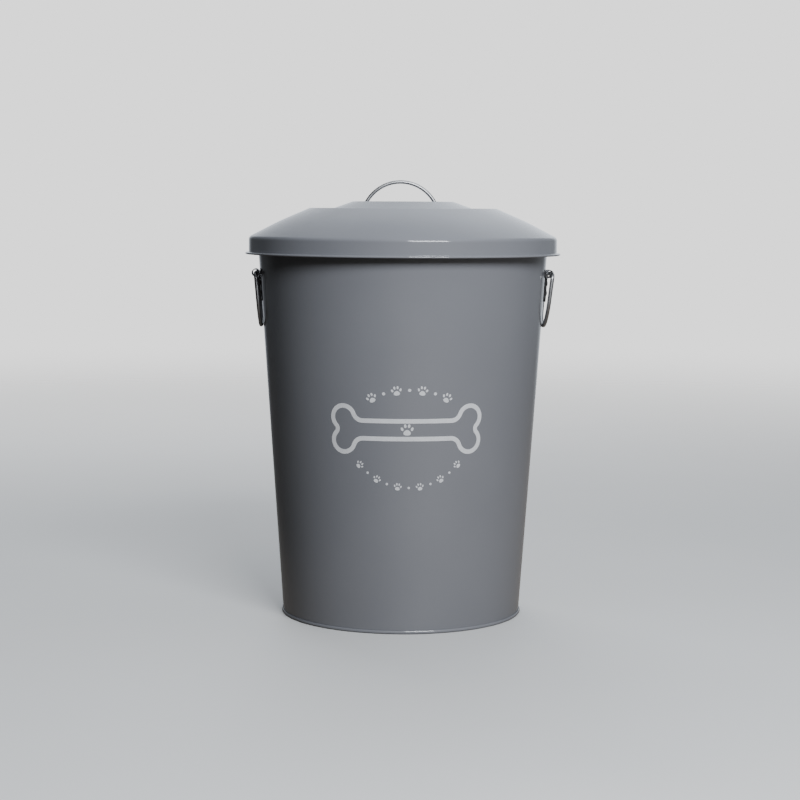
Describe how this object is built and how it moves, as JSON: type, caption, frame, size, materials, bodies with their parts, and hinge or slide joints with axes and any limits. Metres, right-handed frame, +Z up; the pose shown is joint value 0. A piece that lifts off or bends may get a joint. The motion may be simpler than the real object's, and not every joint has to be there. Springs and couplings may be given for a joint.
{
  "type": "pet food bin",
  "caption": "Tapered round steel bin for dry pet food, with an overhanging lift-off lid, a folding wire bail on the lid and wire drop handles on its sides.",
  "frame": {"origin": "centre of the foot, on the surface the bin stands on", "axes": "+Z up along the bin's axis, front towards -Y, drop handles on the left (-X) and right (+X)"},
  "size_m": [0.311, 0.311, 0.429],
  "materials": {
    "painted_steel": "grey gloss powder coat",
    "bright_wire": "bright drawn wire",
    "clip_steel": "plated strip",
    "rivet_steel": "plated, satin",
    "print_ink": "pale grey screen print on the front of the wall"
  },
  "bodies": {
    "bin": {"body_wall": "painted_steel", "rim_wire": "rivet_steel", "base_pan": "painted_steel", "left_handle_clip": "clip_steel", "left_clip_rivet_upper": "rivet_steel", "left_clip_rivet_lower": "rivet_steel", "right_handle_clip": "clip_steel", "right_clip_rivet_upper": "rivet_steel", "right_clip_rivet_lower": "rivet_steel"},
    "lid": {"lid_shell": "painted_steel", "lid_ear_left": "clip_steel", "lid_ear_right": "clip_steel", "left_ear_rivet_front": "rivet_steel", "left_ear_rivet_back": "rivet_steel", "right_ear_rivet_front": "rivet_steel", "right_ear_rivet_back": "rivet_steel"},
    "bail": {"lid_bail": "bright_wire"},
    "left_handle": {"left_handle_ring": "bright_wire"},
    "right_handle": {"right_handle_ring": "bright_wire"}
  },
  "joints": [
    {"name": "lid_lift", "type": "slide", "parent": "bin", "child": "lid", "axis": [0, 0, 1], "range_m": [0, 0.12]},
    {"name": "bail_fold", "type": "hinge", "parent": "lid", "child": "bail", "pos_m": [0, 0, 0.401], "axis": [1, 0, 0], "range_deg": [-94, 94]},
    {"name": "left_handle_swing", "type": "hinge", "parent": "bin", "child": "left_handle", "pos_m": [-0.14442, 0, 0.33765], "axis": [0, 1, 0], "range_deg": [-0.2, 150]},
    {"name": "right_handle_swing", "type": "hinge", "parent": "bin", "child": "right_handle", "pos_m": [0.14602, 0, 0.33755], "axis": [0, -1, 0], "range_deg": [-0.2, 150]}
  ]
}
